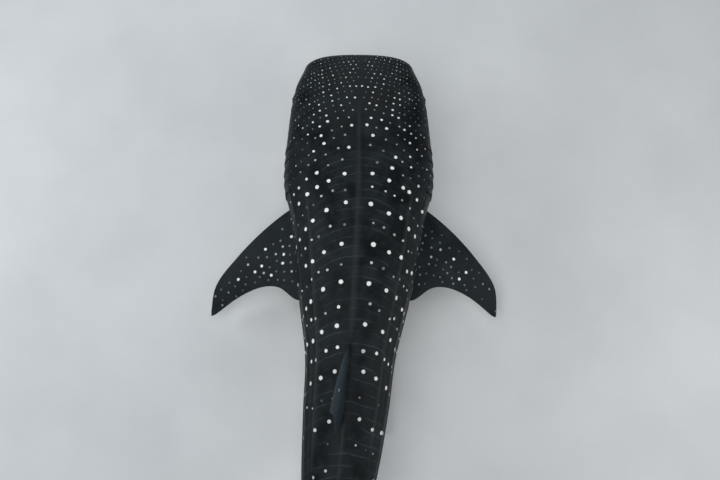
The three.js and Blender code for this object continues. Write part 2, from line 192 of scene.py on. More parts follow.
def stationAt(along):
    table = bodyTable
    at = np.clip(along, 0, table[-1, 0])
    i = np.clip(np.searchsorted(table[:, 0], at) - 1, 0, len(table) - 2)
    a, b = table[i], table[i + 1]
    before, after = table[np.maximum(i - 1, 0)], table[np.minimum(i + 2, len(table) - 1)]
    step = (b[:, 0] - a[:, 0])[:, None]
    t = (at - a[:, 0])[:, None] / step
    slopeA = (b[:, 1:] - before[:, 1:]) / (b[:, 0] - before[:, 0])[:, None] * step
    slopeB = (after[:, 1:] - a[:, 1:]) / (after[:, 0] - a[:, 0])[:, None] * step
    rise = a[:, 1:] * (1 + 2 * t) * (1 - t) ** 2 + b[:, 1:] * t * t * (3 - 2 * t)
    return rise + slopeA * t * (1 - t) ** 2 - slopeB * t * t * (1 - t)


def capShare(distance, cap):
    t = np.clip(distance / cap[0], 0, 1)
    return (1 - (1 - t) ** cap[1]) ** (1 / cap[1])


# the smooth section before ridges, mouth and gills
def plainBody(along, angle):
    halfWidth, top, bottom, squareTop, squareBottom = stationAt(along).T
    opened = np.minimum(capShare(along, body["snoutCap"]), capShare(body["end"] - along, body["tailCap"]))
    across, upwards = np.sin(angle), np.cos(angle)
    square = np.where(upwards > 0, squareTop, squareBottom)
    reach = np.where(upwards > 0, top, bottom)
    side = halfWidth * opened * np.sign(across) * np.abs(across) ** (2 / square)
    up = reach * opened * np.sign(upwards) * np.abs(upwards) ** (2 / square)
    return np.stack([along, side, up], 1)


def bodyNormal(along, angle):
    step = 1e-4
    start = plainBody(along, angle)
    aft = plainBody(np.minimum(along + step, body["end"] - step), angle) - start
    turned = plainBody(along, angle + step) - start
    return unit(np.cross(aft, turned))


def foldAngle(angle):
    return np.abs(np.arctan2(np.sin(angle), np.cos(angle)))


def girthRadius(along):
    rows = stationAt(along)
    return np.maximum(body["slimmest"], (rows[:, 0] + rows[:, 1]) / 2)


def ridgeShare(ridge, along, angle):
    line, start, stop, fade, height, spread = ridge
    present = ease((along - start) / fade) * ease((stop - along) / fade)
    if line == 0:
        return present * bell(plainBody(along, angle)[:, 1], spread) * (np.cos(angle) > 0)
    away = (foldAngle(angle) - math.radians(line)) * girthRadius(along)
    return present * bell(away, spread)


def mouthLine(along):
    return mouth["up"] - mouth["droop"] * ease(along / mouth["corner"]) ** 3


def mouthHeight(shares):
    along, up = shares[:, 0], shares[:, 2]
    present = ease((mouth["corner"] - along) / mouth["fade"])
    away = up - mouthLine(along)
    upperLip = mouth["lip"] * bell(away - mouth["lipAway"], mouth["upperSpread"])
    lowerLip = mouth["lowerShare"] * mouth["lip"] * bell(away + mouth["lipAway"], mouth["lowerSpread"])
    return present * (upperLip + lowerLip - mouth["groove"] * bell(away, mouth["slit"]))


def gillBand(along, angle):
    turn = foldAngle(angle)
    first, last = gills["slits"][0], gills["slits"][-1]
    aft = np.clip((along - first) / (last - first), 0, 1)
    bottom = np.radians(gills["bottomFirst"] + (gills["bottomLast"] - gills["bottomFirst"]) * aft)
    fade = math.radians(gills["fade"])
    return ease((turn - math.radians(gills["top"])) / fade) * ease((bottom - turn) / fade)


def gillHeight(along, angle):
    flap = np.zeros_like(along)
    for slit in gills["slits"]:
        share = np.clip(1 - (slit - along) / gills["pitch"], 0, 1) ** gills["curl"]
        flap = np.where((along <= slit + 1e-9) & (along > slit - gills["pitch"]), share, flap)
        behind = np.where(along > slit + 1e-9, bell(along - slit, gills["grooveSpread"]), 0)
        cut = behind * gills["groove"] / gills["lift"]
        flap = np.where(behind > gills["grooveLeast"], flap - cut, flap)
    return gills["lift"] * gillBand(along, angle) * flap


def gillBow(along, angle):
    near = ease(1 - np.abs(along - gills["bowAlong"]) / gills["bowSpan"])
    middle = math.radians((gills["top"] + gills["bottomLast"]) / 2)
    return gills["bow"] * near * np.clip(np.abs(foldAngle(angle) - middle) / gills["bowTurn"], 0, 1) ** 2


def spotOn(feature, side):
    at = plainBody(np.array([feature["along"]]), np.array([side * math.radians(feature["angle"])]))
    return at[0]


def roundAway(shares, feature):
    folded = shares.copy()
    folded[:, 1] = np.abs(folded[:, 1])
    return np.linalg.norm(folded - spotOn(feature, 1), axis=1) * layout["length"]


# lids, spiracle and nostril, in metres
def holeHeight(shares, hole):
    away = roundAway(shares, hole)
    rim = hole["rim"] * bell(away - hole["rimAt"] * hole["radius"], hole["rimSpread"])
    return rim - hole["depth"] * bell(away, holeWidth * hole["radius"])


def headDetail(shares):
    away = roundAway(shares, eye)
    lids = eye["rimLift"] * bell(away - eye["rim"], eye["rimSpread"])
    lids = lids - eye["hollow"] * bell(away, eye["hollowSpread"])
    return lids + holeHeight(shares, spiracle) + holeHeight(shares, nostril)


def bodySkin(along, angle):
    shares = plainBody(along, angle)
    height = mouthHeight(shares) + gillHeight(along, angle) + headDetail(shares) / layout["length"]
    for ridge in ridges.values():
        height = height + ridge[4] * ridgeShare(ridge, along, angle)
    shares = shares + bodyNormal(along, angle) * height[:, None]
    shares[:, 0] += gillBow(along, angle)
    return place(shares)


# distances between points in metres, and where along the body or round it they hold
meshing = {
    "along": 0.0125,
    "headTo": 0.1,
    "head": 0.0062,
    "gillsFrom": 0.14,
    "gillsTo": 0.226,
    "gills": 0.0065,
    "slitEdges": (-0.0005, 0.0, 0.0004, 0.0009),
    "slitMiddle": 0.0002,
    "slitClear": 0.0006,
    "around": 0.0105,
    "flankFrom": 74,
    "flankTo": 103,
    "flank": 0.006,
    "ridgeLines": (0, 43, 68, 92),
    "ridgeReach": 5,
    "ridge": 0.0065,
    "sample": 0.15,
}


def ringPlaces():
    snout = np.geomspace(1e-5, 0.02, 3000)
    middleBody = np.linspace(0.02, body["end"] - 0.03, 6000)[1:]
    tail = body["end"] - np.geomspace(0.03, 1e-4, 1500)[1:]
    fine = np.concatenate([snout, middleBody, tail])
    edge = place(plainBody(fine, np.full_like(fine, math.pi / 2)))
    middle = (fine[1:] + fine[:-1]) / 2
    step = np.where(middle < meshing["headTo"], meshing["head"], meshing["along"])
    byGills = (middle > meshing["gillsFrom"]) & (middle < meshing["gillsTo"])
    step = np.where(byGills, meshing["gills"], step)
    count = runningSum(gapsOf(edge) / step)
    rings = np.interp(np.arange(1, int(count[-1])), count, fine)
    keep = np.ones(len(rings), bool)
    for slit in gills["slits"]:
        keep &= np.abs(rings - slit - meshing["slitMiddle"]) > meshing["slitClear"]
    edges = [slit + shift for slit in gills["slits"] for shift in meshing["slitEdges"]]
    return np.sort(np.concatenate([rings[keep], edges]))


def ringAngles():
    fine = np.linspace(0, math.pi, 4000)
    reference = place(plainBody(np.full_like(fine, meshing["sample"]), fine))
    middle = np.degrees((fine[1:] + fine[:-1]) / 2)
    onFlank = (middle > meshing["flankFrom"]) & (middle < meshing["flankTo"])
    step = np.where(onFlank, meshing["flank"], meshing["around"])
    for line in meshing["ridgeLines"]:
        step = np.where(np.abs(middle - line) < meshing["ridgeReach"], meshing["ridge"], step)
    count = runningSum(gapsOf(reference) / step)
    half = np.interp(np.linspace(0, count[-1], int(count[-1]) + 1), count, fine)
    return np.concatenate([half, 2 * math.pi - half[-2:0:-1]])


def meshFrom(name, points, faces):
    mesh = bpy.data.meshes.new(name)
    mesh.from_pydata(np.asarray(points, float).tolist(), [], faces)
    mesh.update()
    made = bpy.data.objects.new(name, mesh)
    bpy.context.scene.collection.objects.link(made)
    return made


# a closed tube through rings of points, with a point at each end
def loft(rings, first, last):
    count = rings.shape[1]
    points = np.concatenate([[first], rings.reshape(-1, 3), [last]])
    k = np.arange(count)
    after = (k + 1) % count
    faces = np.stack([np.zeros_like(k), 1 + after, 1 + k], 1).tolist()
    for r in range(len(rings) - 1):
        a = 1 + r * count
        faces += np.stack([a + k, a + after, a + count + after, a + count + k], 1).tolist()
    end = 1 + (len(rings) - 1) * count
    faces += np.stack([end + k, end + after, np.full_like(k, len(points) - 1)], 1).tolist()
    return points, faces


def buildBody():
    places, angles = ringPlaces(), ringAngles()
    along = np.repeat(places, len(angles))
    turn = np.tile(angles, len(places))
    rings = bodySkin(along, turn).reshape(len(places), len(angles), 3)
    points, faces = loft(rings, rings[0].mean(0), rings[-1].mean(0))
    return meshFrom("bodyShell", points, faces)


# edges from root to tip as (along, side, up); thickness at root and tip
fins = {
    "pectoral": {
        "leading": [(0.206, 0.055, -0.028), (0.218, 0.084, -0.034), (0.25, 0.1305, -0.047),
            (0.292, 0.1745, -0.064), (0.332, 0.2055, -0.082), (0.3725, 0.211, -0.0935)],
        "trailing": [(0.356, 0.05, -0.034), (0.3625, 0.08, -0.041), (0.342, 0.11, -0.049),
            (0.339, 0.132, -0.057), (0.349, 0.165, -0.071), (0.376, 0.2085, -0.0945)],
        "thickness": (0.0125, 0.0018), "steps": 120, "across": 64, "paired": True,
    },
    "pelvic": {
        "leading": [(0.505, 0.02, -0.03), (0.515, 0.031, -0.05), (0.539, 0.043, -0.073),
            (0.564, 0.0425, -0.0885)],
        "trailing": [(0.548, 0.014, -0.034), (0.556, 0.021, -0.052), (0.557, 0.033, -0.07),
            (0.568, 0.042, -0.0895)],
        "thickness": (0.006, 0.0012), "steps": 50, "across": 28, "paired": True,
    },
    "firstDorsal": {
        "leading": [(0.436, 0, 0.045), (0.452, 0, 0.082), (0.492, 0, 0.12), (0.536, 0, 0.1475)],
        "trailing": [(0.518, 0, 0.04), (0.54, 0.002, 0.06), (0.559, 0.009, 0.0705),
            (0.546, 0.0085, 0.083), (0.5395, 0.0045, 0.112), (0.5405, 0, 0.1478)],
        "thickness": (0.0135, 0.0016), "steps": 90, "across": 56, "lean": (0.2, 0.065),
    },
    "secondDorsal": {
        "leading": [(0.643, 0, 0.022), (0.652, 0, 0.042), (0.676, 0, 0.062), (0.701, 0, 0.0745)],
        "trailing": [(0.684, 0, 0.018), (0.698, 0, 0.0345), (0.716, 0, 0.0425), (0.707, 0, 0.053),
            (0.7035, 0, 0.0748)],
        "thickness": (0.0065, 0.0012), "steps": 50, "across": 30,
    },
    "anal": {
        "leading": [(0.664, 0, -0.018), (0.673, 0, -0.037), (0.694, 0, -0.055), (0.717, 0, -0.0665)],
        "trailing": [(0.7, 0, -0.015), (0.713, 0, -0.0305), (0.728, 0, -0.038), (0.721, 0, -0.048),
            (0.7195, 0, -0.0668)],
        "thickness": (0.006, 0.0012), "steps": 50, "across": 30,
    },
    "upperLobe": {
        "leading": [(0.768, 0, -0.002), (0.8, 0, 0.022), (0.858, 0, 0.064), (0.928, 0, 0.127),
            (0.978, 0, 0.175), (0.9985, 0, 0.196)],
        "trailing": [(0.8915, 0, -0.003), (0.895, 0, 0.009), (0.908, 0, 0.033), (0.941, 0, 0.09),
            (0.979, 0, 0.152), (1.0, 0, 0.1955)],
        "thickness": (0.0185, 0.0018), "steps": 130, "across": 48,
    },
    "lowerLobe": {
        "leading": [(0.778, 0, 0.001), (0.8, 0, -0.022), (0.834, 0, -0.06), (0.867, 0, -0.1),
            (0.896, 0, -0.1245)],
        "trailing": [(0.8915, 0, 0.003), (0.893, 0, -0.012), (0.8945, 0, -0.045), (0.9, 0, -0.085),
            (0.8985, 0, -0.1242)],
        "thickness": (0.0165, 0.0018), "steps": 100, "across": 48,
    },
}
finForm = {
    "fineness": 0.16,  # most half thickness for a chord of one
    "tipHalf": 0.0002,
    "thinning": 0.8,
    "crowding": 1.35,
    "tipRounding": 0.035,
    "lastTurn": 0.98,
    "round": 1.48,  # the profile's round front, its flat middle and its blunt back edge
    "flat": 0.05,
    "blunt": 0.04,
}


# a centripetal Catmull-Rom curve through the points, and its direction
def curveAt(points, shares):
    pts = np.array(points, float)
    pts = np.concatenate([[2 * pts[0] - pts[1]], pts, [2 * pts[-1] - pts[-2]]])
    travel = shares * (len(points) - 1)
    i = np.minimum(travel.astype(int), len(points) - 2)
    t = (travel - i)[:, None]
    p0, p1, p2, p3 = (pts[i + k] for k in range(4))
    gaps = [np.sqrt(np.linalg.norm(b - a, axis=1))[:, None] for a, b in ((p0, p1), (p1, p2), (p2, p3))]
    d0, d1, d2 = gaps
    m1 = ((p1 - p0) / d0 - (p2 - p0) / (d0 + d1) + (p2 - p1) / d1) * d1
    m2 = ((p2 - p1) / d1 - (p3 - p1) / (d1 + d2) + (p3 - p2) / d2) * d1
    c2, c3 = -3 * p1 + 3 * p2 - 2 * m1 - m2, 2 * p1 - 2 * p2 + m1 + m2
    return p1 + m1 * t + c2 * t**2 + c3 * t**3, m1 + 2 * c2 * t + 3 * c3 * t**2


def finSpans(fin):
    return 1 - (1 - np.linspace(0, 1, fin["steps"] + 1)) ** finForm["crowding"]


# points of a fin at span and chord shares; face is 1 on top, -1 underneath, 0 in the middle
def finPoints(fin, span, chordShare, face, mirror=1):
    flip = np.array([1, mirror, 1])
    leading, trailing = np.array(fin["leading"]) * flip, np.array(fin["trailing"]) * flip
    front, back = curveAt(leading, span)[0], curveAt(trailing, span)[0]
    capped = np.minimum(span, finForm["lastTurn"])
    outwards = unit(curveAt(leading, capped)[1]) + unit(curveAt(trailing, capped)[1])
    chord = back - front
    normal = unit(np.cross(chord, outwards))
    atRoot, atTip = fin["thickness"]
    half = (atRoot + (atTip - atRoot) * span ** finForm["thinning"]) / 2
    half = np.minimum(half, np.linalg.norm(chord, axis=1) * finForm["fineness"] + finForm["tipHalf"])
    rest = 1 - chordShare
    profile = finForm["round"] * np.sqrt(chordShare) * rest + finForm["flat"] * rest + finForm["blunt"]
    toTip = np.clip((1 - span) / finForm["tipRounding"], 0.0004, 1)
    rounded = 0.5 + (chordShare - 0.5) * np.sqrt(1 - (1 - toTip) ** 2)
    shares = front + chord * rounded[:, None] + normal * (half * profile * face)[:, None]
    if "lean" in fin:
        shares[:, 1] += fin["lean"][0] * np.maximum(0, shares[:, 2] - fin["lean"][1])
    return place(shares)


def buildFin(name, fin, mirror=1):
    across = fin["across"]
    k = np.arange(2 * across)
    onTop = k <= across
    turn = math.pi * np.where(onTop, k, 2 * across - k) / across
    face = np.where((k == 0) | (k == across), 0, np.where(onTop, 1, -1))
    spans = finSpans(fin)
    span, faces = np.repeat(spans, len(k)), np.tile(face, len(spans))
    chords = np.tile((1 - np.cos(turn)) / 2, len(spans))
    rings = finPoints(fin, span, chords, faces, mirror).reshape(len(spans), len(k), 3)
    points, polys = loft(rings, rings[0].mean(0), rings[-1].mean(0))
    return meshFrom(name, points, polys), points


def faceOutwards(made):
    mesh = made.data
    co = np.empty(len(mesh.vertices) * 3)
    mesh.vertices.foreach_get("co", co)
    co = co.reshape(-1, 3)
    mesh.calc_loop_triangles()
    tris = np.empty(len(mesh.loop_triangles) * 3, int)
    mesh.loop_triangles.foreach_get("vertices", tris)
    a, b, c = co[tris.reshape(-1, 3)].transpose(1, 0, 2)
    if (a * np.cross(b, c)).sum() < 0:
        mesh.flip_normals()


def joinSkin():
    shell = buildBody()
    faceOutwards(shell)
    finShapes = []
    parts = []
    for name, fin in fins.items():
        for mirror in (1, -1) if fin.get("paired") else (1,):
            made, points = buildFin(f"{name}{mirror}", fin, mirror)
            faceOutwards(made)
            parts.append(made)
            finShapes.append((name, points))
            union = shell.modifiers.new(made.name, "BOOLEAN")
            union.operation = "UNION"
            union.solver = "MANIFOLD"
            union.object = made
    bpy.context.view_layer.update()
    settled = shell.evaluated_get(bpy.context.evaluated_depsgraph_get())
    joined = bpy.data.meshes.new_from_object(settled)
    for made in [*parts, shell]:
        bpy.data.objects.remove(made)
    print("joined", len(joined.vertices), "points", len(joined.polygons), "faces")
    return joined, finShapes


joinedMesh, finShapes = joinSkin()
skin = bpy.data.objects.new("sharkSkin", joinedMesh)
bpy.context.scene.collection.objects.link(skin)


def readVectors(collection, name):
    values = np.empty(len(collection) * 3)
    collection.foreach_get(name, values)
    return values.reshape(-1, 3)


# fillets where the fins meet the body: the hollow of each root is filled, outwards only
fillet = {
    "near": 0.012,
    "reach": {"pectoral": 0.11, "firstDorsal": 0.08, "upperLobe": 0.3, "lowerLobe": 0.3},
    "reachOther": 0.05,
    "rounds": 60,
    "pull": 0.6,
}


def sectionShare(along, side, up):
    halfWidth, top, bottom, squareTop, squareBottom = stationAt(along).T
    square = np.where(up > 0, squareTop, squareBottom)
    reach = np.where(up > 0, top, bottom)
    return np.abs(side / halfWidth) ** (square / 2), np.abs(up / reach) ** (square / 2)


# how far outside the smooth body a point is, in metres, roughly
def outsideBody(points):
    along, side, up = unplace(points)
    across, upwards = sectionShare(along, side, up)
    radial = np.sqrt(across**2 + upwards**2)
    near = (radial - 1) * np.sqrt(side**2 + up**2) / np.maximum(radial, 1e-6) * layout["length"]
    return np.where(along < body["end"], near, 1.0)


def treeOf(points):
    tree = KDTree(len(points))
    for i, p in enumerate(points):
        tree.insert(p, i)
    tree.balance()
    return tree


def smoothRoots(mesh):
    co = readVectors(mesh.vertices, "co")
    weight = np.zeros(len(co))
    for name, points in finShapes:
        root = points[np.abs(outsideBody(points)) < fillet["near"]]
        tree = treeOf(root)
        reach = fillet["reach"].get(name, fillet["reachOther"])
        low, high = root.min(0) - reach, root.max(0) + reach
        for i in np.nonzero(((co > low) & (co < high)).all(1))[0]:
            weight[i] = max(weight[i], ease(1 - tree.find(co[i])[2] / reach))
    edges = np.empty(len(mesh.edges) * 2, int)
    mesh.edges.foreach_get("vertices", edges)
    edges = edges.reshape(-1, 2)
    edges = edges[(weight[edges] > 0).any(1)]
    ends, others = edges.ravel(), edges[:, ::-1].ravel()
    count = np.maximum(np.bincount(ends, minlength=len(co)), 1)
    normals = readVectors(mesh.vertex_normals, "vector")
    for _ in range(fillet["rounds"]):
        total = np.stack([np.bincount(ends, co[others, k], len(co)) for k in range(3)], 1)
        step = (total / count[:, None] - co) * (fillet["pull"] * weight)[:, None]
        step[(step * normals).sum(1) < 0] = 0
        co += step
    mesh.vertices.foreach_set("co", co.ravel())
    mesh.update()
    print("fillets over", int((weight > 0).sum()), "points")


smoothRoots(joinedMesh)

# spot rows across the back, all by place along the body; sizes in shares, radii in metres
pattern = {
    "at": (0, 0.05, 0.1, 0.148, 0.2, 0.3, 0.5, 0.6, 0.82),
    "rowStep": (0.0058, 0.0082, 0.0118, 0.0158, 0.0255, 0.0275, 0.03, 0.032, 0.028),
    "columnStep": (0.0062, 0.0086, 0.0122, 0.0158, 0.0215, 0.0235, 0.022, 0.02, 0.016),
    "middleGap": (0.0, 0.002, 0.008, 0.012, 0.018, 0.02, 0.018, 0.016, 0.012),
    "flankCrowding": (0.25, 0.3, 0.35, 0.35, 0.35, 0.35, 0.3, 0.2, 0.1),
    "sweep": (2.2, 3.2, 4.2, 5.0, 6.0, 6.0, 6.0, 6.0, 6.0),
    "radius": (0.0044, 0.0066, 0.0105, 0.0146, 0.0172, 0.0185, 0.0175, 0.0125, 0.0105),
    "glow": (0.75, 0.85, 0.95, 1.0, 1.0, 1.0, 0.9, 0.5, 0.45),
    "alternateFrom": 0.19,
    "frontRows": (0.00004, 0.0002, 0.0006, 0.0015, 0.0028, 0.0046),
    "firstRow": 0.007,
    "lastRow": 0.835,
    "betweenPitch": 0.72,
    "jitter": 0.13,
    "widest": 0.3,
    "clear": {"eye": 0.055, "spiracle": 0.03, "nostril": 0.024},
}
# least and most radius and glow of each kind of spot, as shares of the row's own
spotKinds = {
    "brightChance": 0.45,
    "bright": (0.85, 1.1),
    "brightGlow": (0.8, 1),
    "small": (0.55, 0.75),
    "smallGlow": (0.14, 0.5),
    "snoutGlow": 0.2,
    "big": (0.9, 1.08),
    "bigGlow": (0.9, 1),
    "between": (0.5, 0.7),
    "betweenGlow": (0.18, 0.35, 0.6, 0.85),
    "missingFrom": 0.5,
    "missing": 0.35,
}


def patternAt(name, along):
    return np.interp(along, pattern["at"], pattern[name])


def spotRows():
    rows, at = list(pattern["frontRows"]), pattern["firstRow"]
    while at < pattern["lastRow"]:
        rows.append(at)
        at += patternAt("rowStep", at)
    return np.array(rows)


rowPlaces = spotRows()
bellyLine = {
    "at": (0, 0.06, 0.1, 0.19, 0.235, 0.35, 0.39, 0.6, 0.75, 0.85),
    "degrees": (96, 97, 104, 111, 123, 126, 113, 112, 118, 122),
}


def bellyAngle(along):
    return np.interp(along, bellyLine["at"], bellyLine["degrees"])


# angle and side on the section at a distance round it from the top of the back
def angleAtArc(along, arc):
    fine = np.linspace(0, math.pi, 500)
    section = plainBody(np.full_like(fine, along), fine)
    angle = float(np.interp(arc, runningSum(gapsOf(section)), fine))
    return angle, np.interp(angle, fine, np.abs(section[:, 1]))


def spotStrength(row, arc, bigRow):
    radius, glow = patternAt("radius", row), patternAt("glow", row)
    onHead = 1 - ease((row - 0.16) / 0.05)
    lowFlank = ease((abs(arc) - 0.06 + 0.015 * onHead) / (0.08 - 0.025 * onHead))
    radius = radius * (1 - (0.35 + 0.12 * onHead) * lowFlank)
    if row < pattern["alternateFrom"]:
        kind = "bright" if random.random() < spotKinds["brightChance"] else "small"
        radius *= random.uniform(*spotKinds[kind])
        least, most = spotKinds[kind + "Glow"]
        if kind == "small":
            least += spotKinds["snoutGlow"] * (1 - ease((row - 0.04) / 0.05))
        glow *= random.uniform(least, most) * (1 - 0.3 * lowFlank)
    elif bigRow:
        radius *= random.uniform(*spotKinds["big"])
        glow *= random.uniform(*spotKinds["bigGlow"]) * (1 - 0.25 * lowFlank)
    else:
        aft = ease((row - 0.36) / 0.08) - 1.3 * ease((row - 0.46) / 0.05)
        radius *= random.uniform(*spotKinds["between"]) + 0.2 * aft
        glow *= np.clip(random.choice(spotKinds["betweenGlow"]) + 0.4 * aft, 0.1, 1)
    return radius, glow


# the spots of one row on one side as (along, angle, radius, glow)
def rowSpots(r, row, side):
    found = []
    onHead = row < pattern["alternateFrom"]
    bigRow = onHead or r % 2 == 0
    step, gap = patternAt("rowStep", row), patternAt("middleGap", row)
    sweep = patternAt("sweep", row) * (row >= pattern["firstRow"])
    pitch = patternAt("columnStep", row) * (1 if bigRow else pattern["betweenPitch"])
    stagger = 0.5 * pitch if onHead and r % 2 else 0
    reached = gap + stagger + (0 if side > 0 or gap > 0.003 else pitch)
    while True:
        arc = reached + pitch * random.uniform(-1, 1) * pattern["jitter"]
        reached += pitch * (1 - patternAt("flankCrowding", row) * ease((reached - 0.03) / 0.03))
        across = angleAtArc(max(row, 0.002), abs(arc))[1]
        along = row + sweep * across**2 + step * random.uniform(-1, 1) * pattern["jitter"]
        if along > body["end"] - 0.012 or arc > pattern["widest"]:
            return found
        angle = angleAtArc(along, abs(arc))[0]
        if math.degrees(angle) > bellyAngle(along) - 3:
            return found
        radius, glow = spotStrength(row, arc, bigRow)
        if row > spotKinds["missingFrom"] and random.random() < spotKinds["missing"]:
            continue
        found.append((along, side * angle, radius, glow))


# every spot of the body as centres, normals, radii and glows
def bodySpots():
    found = []
    for r, row in enumerate(rowPlaces):
        for side in (1, -1):
            found += rowSpots(r, row, side)
    along, angle, radius, glow = np.array(found).T
    flat, clear = plainBody(along, angle), pattern["clear"]
    keep = roundAway(flat, eye) > clear["eye"]
    keep &= roundAway(flat, spiracle) > clear["spiracle"]
    keep &= roundAway(flat, nostril) > clear["nostril"]
    along, angle, radius, glow = along[keep], angle[keep], radius[keep], glow[keep]
    return bodySkin(along, angle), bodyNormal(along, angle)[:, [1, 0, 2]], radius, glow


# spacing and radius in metres, from and to as shares of the span, keep as a chance
finSpots = {
    "pectoral": {"spacing": 0.072, "from": 0.2, "to": 0.97, "radius": 0.0125, "keep": 0.92},
    "firstDorsal": {"spacing": 0.12, "from": 0.3, "to": 0.92, "radius": 0.012, "keep": 0.4},
    "secondDorsal": {"spacing": 0.09, "from": 0.4, "to": 0.9, "radius": 0.009, "keep": 0.5},
    "upperLobe": {"spacing": 0.115, "from": 0.06, "to": 0.93, "radius": 0.011, "keep": 0.7},
    "lowerLobe": {"spacing": 0.115, "from": 0.1, "to": 0.9, "radius": 0.01, "keep": 0.5},
}
finKinds = {"inner": (1, 0.5, 0.22, 0.14, 0.1), "outer": (0.25, 0.12, 0.08)}


def finSpotList(name, mirror):
    fin, plan = fins[name], finSpots[name]
    spans = np.linspace(0, 1, 60)
    zero, one = np.zeros(60), np.ones(60)
    front, back = finPoints(fin, spans, zero, zero, mirror), finPoints(fin, spans, one, zero, mirror)
    travel = runningSum(gapsOf((front + back) / 2))
    chords = np.linalg.norm(back - front, axis=1)
    found = []
    rows = int(travel[-1] / plan["spacing"])
    for face in (1,) if name == "pectoral" else (1, -1):
        for r in range(rows):
            span = np.interp((r + 0.5) / rows * travel[-1], travel, spans)
            count = max(1, int(np.interp(span, spans, chords) / plan["spacing"]))
            for c in range(count):
                share = (c + 0.5 + 0.25 * (-1) ** r + random.uniform(-0.16, 0.16)) / count
                at = span + random.uniform(-0.2, 0.2) / rows
                inside = plan["from"] < at < plan["to"] and 0.12 < share < 0.9
                if not inside or random.random() > plan["keep"]:
                    continue
                inner = 0.25 < share < 0.85 and at < 0.72
                kind = random.choice(finKinds["inner" if inner else "outer"])
                found.append((at, share, face, plan["radius"] * (0.7 + 0.35 * kind), kind))
    span, share, face, radius, glow = np.array(found).T
    core = finPoints(fin, span, share, 0 * face, mirror)
    centres = finPoints(fin, span, share, face, mirror)
    if name == "pectoral":  # only the upper face of the pair
        under = (centres - core)[:, 2] < 0
        centres[under] = finPoints(fin, span, share, -face, mirror)[under]
    return centres, unit(centres - core), radius, glow


def allSpots():
    lists = [bodySpots()]
    for name in finSpots:
        for mirror in (1, -1) if fins[name].get("paired") else (1,):
            lists.append(finSpotList(name, mirror))
    joinedLists = [np.concatenate([part[k] for part in lists]) for k in range(4)]
    print("spots", len(joinedLists[0]))
    return joinedLists


def writeFloats(mesh, name, values, domain="POINT"):
    made = mesh.attributes.new(name, "FLOAT", domain)
    made.data.foreach_set("value", np.ascontiguousarray(values, np.float32))


spotReach = {"share": 1.4, "more": 0.014, "facing": 0.25}


# each face near a spot learns that spot's centre, size and glow
def markSpots(mesh):
    faceCentres = readVectors(mesh.polygons, "center")
    faceNormals = readVectors(mesh.polygons, "normal")
    tree = treeOf(faceCentres)
    best = np.full(len(faceCentres), 1e9)
    spotCentre = np.zeros((len(faceCentres), 3))
    spotSize, spotGlow = np.zeros(len(faceCentres)), np.zeros(len(faceCentres))
    for centre, normal, radius, glow in zip(*allSpots()):
        for _, i, away in tree.find_range(centre, radius * spotReach["share"] + spotReach["more"]):
            if away - radius < best[i] and faceNormals[i] @ normal > spotReach["facing"]:
                best[i] = away - radius
                spotCentre[i], spotSize[i], spotGlow[i] = centre, radius, glow
    made = mesh.attributes.new("spotCentre", "FLOAT_VECTOR", "FACE")
    made.data.foreach_set("vector", spotCentre.astype(np.float32).ravel())
    writeFloats(mesh, "spotSize", spotSize, "FACE")
    writeFloats(mesh, "spotGlow", spotGlow, "FACE")


# distances in shares of the length, but finFrom, finOver and dorsalOver in metres
skinMarks = {
    "finFrom": 0.01,
    "finOver": 0.05,
    # dorsalOver and otherFins set the painted light on the fins
    "dorsalOver": 0.24,
    "otherFins": 0.14,
    "pairedTo": 0.62,
    "chin": (0.0016, 0.3),  # fade below the mouth, and its start
    "chinTo": (0.055, 0.045),
    "bellyFade": 10,  # degrees
    "under": (2.2, 0.4),
    "darkTail": (0.72, 0.09),
    "linesFrom": (0.12, 0.08),
    "linesFade": (0.62, 0.1),
    # painted shade in the gill slits (offset and spread) and round the eye (strength and spread)
    "slitShade": (0.0008, 0.0014),
    "eyeShade": (0.8, 0.026),
}


